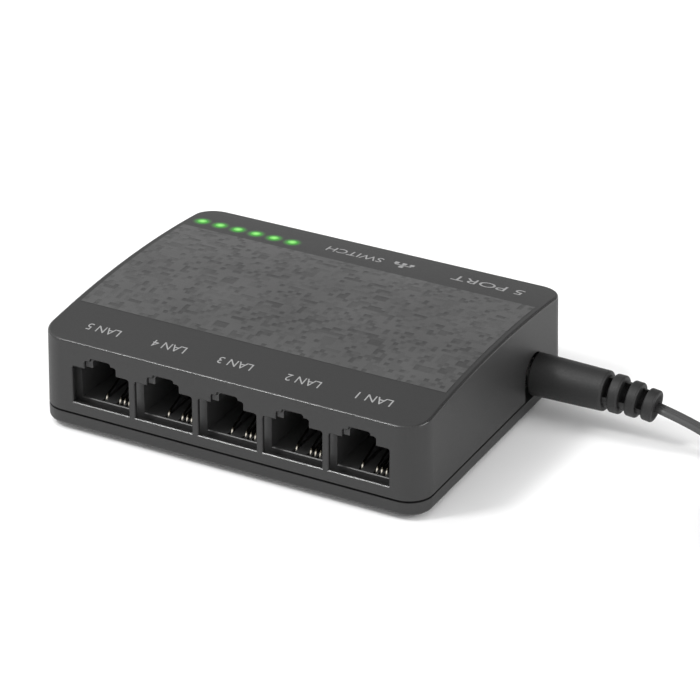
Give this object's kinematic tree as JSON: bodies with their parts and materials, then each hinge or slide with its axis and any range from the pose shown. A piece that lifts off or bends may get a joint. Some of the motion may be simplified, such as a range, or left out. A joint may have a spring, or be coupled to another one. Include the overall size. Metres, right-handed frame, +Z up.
{
  "type": "desktop network switch",
  "caption": "Small charcoal desktop network switch with a row of network ports, arched top with status lights, and a plug-in power lead ending in a wall adapter.",
  "frame": {"origin": "middle of the case's footprint, at the soles of its feet", "axes": "+Z up, -Y out of the network ports, +X out of the side with the power socket"},
  "size_m": [0.2565, 0.0646, 0.032],
  "materials": {
    "case_plastic": "fine satin moulding",
    "jack_plastic": "satin black",
    "contact_gold": "gold flashed",
    "board_laminate": "solder mask",
    "chip_epoxy": "moulded epoxy",
    "plated_metal": "nickel plated",
    "can_metal": "brushed can",
    "light_pipe": "clear, lit green",
    "led_lens": "clear epoxy",
    "foot_rubber": "soft",
    "screw_steel": "zinc plated",
    "label_film": "blank film",
    "plug_vinyl": "moulded vinyl",
    "cord_vinyl": "extruded vinyl",
    "adapter_plastic": "satin moulding",
    "insulator": "nylon"
  },
  "bodies": {
    "switch": {"upper_shell": "case_plastic", "lower_shell": "case_plastic", "rating_label": "label_film", "foot_front_left": "foot_rubber", "foot_front_right": "foot_rubber", "foot_rear_left": "foot_rubber", "foot_rear_right": "foot_rubber", "case_screws": "screw_steel", "circuit_board": "board_laminate", "jack_block": "jack_plastic", "power_jack_housing": "jack_plastic", "contact_carrier_1": "jack_plastic", "contact_carrier_2": "jack_plastic", "contact_carrier_3": "jack_plastic", "contact_carrier_4": "jack_plastic", "contact_carrier_5": "jack_plastic", "contact_set_1": "contact_gold", "contact_set_2": "contact_gold", "contact_set_3": "contact_gold", "contact_set_4": "contact_gold", "contact_set_5": "contact_gold", "switch_chip": "chip_epoxy", "regulator": "chip_epoxy", "inductor": "chip_epoxy", "transformer_1": "chip_epoxy", "transformer_2": "chip_epoxy", "transformer_3": "chip_epoxy", "transformer_4": "chip_epoxy", "transformer_5": "chip_epoxy", "switch_chip_leads": "plated_metal", "power_jack_pin": "plated_metal", "power_jack_spring": "plated_metal", "crystal": "can_metal", "capacitor_1": "can_metal", "capacitor_2": "can_metal", "status_led_1": "led_lens", "status_led_2": "led_lens", "status_led_3": "led_lens", "status_led_4": "led_lens", "status_led_5": "led_lens", "status_led_6": "led_lens", "light_pipe": "light_pipe"},
    "power_lead": {"plug_grip": "plug_vinyl", "plug_sleeve": "plated_metal", "plug_insulator": "insulator", "plug_contact_tube": "plated_metal", "power_cord": "cord_vinyl", "cord_coil": "cord_vinyl", "cord_tie": "cord_vinyl", "power_cord_tail": "cord_vinyl", "adapter_relief": "plug_vinyl", "adapter_case": "adapter_plastic", "adapter_pin_plate": "adapter_plastic", "adapter_pins": "plated_metal", "adapter_board": "board_laminate", "adapter_transformer": "chip_epoxy"}
  },
  "joints": [
    {"name": "power_plug_pull", "type": "slide", "parent": "switch", "child": "power_lead", "axis": [1, 0, 0], "range_m": [0, 0.0105]}
  ]
}
